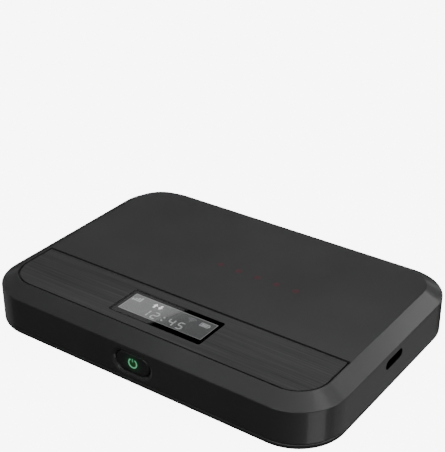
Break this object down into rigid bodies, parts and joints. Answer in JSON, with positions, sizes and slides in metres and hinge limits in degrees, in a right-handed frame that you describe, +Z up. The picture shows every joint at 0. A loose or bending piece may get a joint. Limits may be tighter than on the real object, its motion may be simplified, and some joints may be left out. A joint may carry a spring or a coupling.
{
  "type": "mobile hotspot",
  "caption": "Pocket mobile hotspot: flat rounded case with a chamfered top, brushed strip with a small display, side power button, end charging port, removable back cover and battery.",
  "frame": {"origin": "middle of the underside, on the surface the device lies on", "axes": "+X along the length towards the charging port, -Y towards the power button and the display strip, +Z up out of the display"},
  "size_m": [0.105, 0.0744, 0.0135],
  "materials": {
    "case": "fine matte moulded texture",
    "strip": "satin, brushed along the length",
    "button": "matte",
    "symbol": "translucent, lit green",
    "lens": "polished clear window with a black border",
    "screen": "small monochrome display",
    "chassis": "moulded",
    "board": "green solder mask",
    "chip": "moulded epoxy",
    "pad": "soft thermal pad",
    "foam": "closed-cell foam",
    "flex": "polyimide film",
    "sim": "smooth card",
    "wrap": "printed film wrap",
    "end_cap": "moulded",
    "sheet": "nickel-plated sheet",
    "gold": "gold plated",
    "copper": "thin copper foil",
    "screw": "dark zinc"
  },
  "bodies": {
    "housing": {"battery_blade_1": "gold", "battery_blade_2": "gold", "battery_blade_3": "gold", "battery_blade_4": "gold", "battery_connector": "chassis", "chassis_frame": "chassis", "chassis_screw_1": "screw", "chassis_screw_2": "screw", "chassis_screw_3": "screw", "chassis_screw_4": "screw", "chassis_screw_5": "screw", "chassis_screw_6": "screw", "display_carrier": "chassis", "display_connector": "chip", "display_flex": "flex", "display_panel": "screen", "display_window": "lens", "lte_antenna_diversity": "copper", "lte_antenna_main": "copper", "main_board": "board", "memory_chip": "chip", "modem_chip": "chip", "modem_shield": "sheet", "power_chip": "chip", "power_led": "symbol", "power_shield": "sheet", "power_switch": "chip", "reset_switch": "sheet", "sim_clamp": "sheet", "sim_socket": "chip", "thermal_pad": "pad", "top_cover": "case", "trim_strip": "strip", "usb_shell": "sheet", "usb_tongue": "chip", "wifi_antenna_back": "copper", "wifi_antenna_front": "copper", "wifi_chip": "chip", "wifi_shield": "sheet"},
    "back_cover": {"back_cover": "case", "battery_pressure_pad": "foam"},
    "battery": {"battery_cell": "wrap", "battery_end_cap": "end_cap", "battery_terminal_1": "gold", "battery_terminal_2": "gold", "battery_terminal_3": "gold", "battery_terminal_4": "gold"},
    "power_button": {"power_button": "button", "power_symbol_ring": "symbol", "power_symbol_stem": "symbol", "switch_plunger": "chip"},
    "reset_button": {"reset_plunger": "chip"},
    "sim_card": {"sim_card": "sim"}
  },
  "joints": [
    {"name": "power_button_press", "type": "slide", "parent": "housing", "child": "power_button", "axis": [0, 1, 0], "range_m": [0, 0.00035], "stiffness_N_per_m": 2500},
    {"name": "reset_press", "type": "slide", "parent": "housing", "child": "reset_button", "axis": [0, 0, 1], "range_m": [0, 0.00025], "stiffness_N_per_m": 2500},
    {"name": "back_cover_lift", "type": "slide", "parent": "housing", "child": "back_cover", "axis": [0, 0, -1], "range_m": [0, 0.02]},
    {"name": "battery_lift", "type": "slide", "parent": "housing", "child": "battery", "axis": [0, 0, -1], "range_m": [0, 0.01]},
    {"name": "sim_card_slide", "type": "slide", "parent": "housing", "child": "sim_card", "axis": [-1, 0, 0], "range_m": [0, 0.011]}
  ],
  "couplings": [
    {"joint": "battery_lift", "follows": "back_cover_lift", "ratio": 0.5}
  ]
}
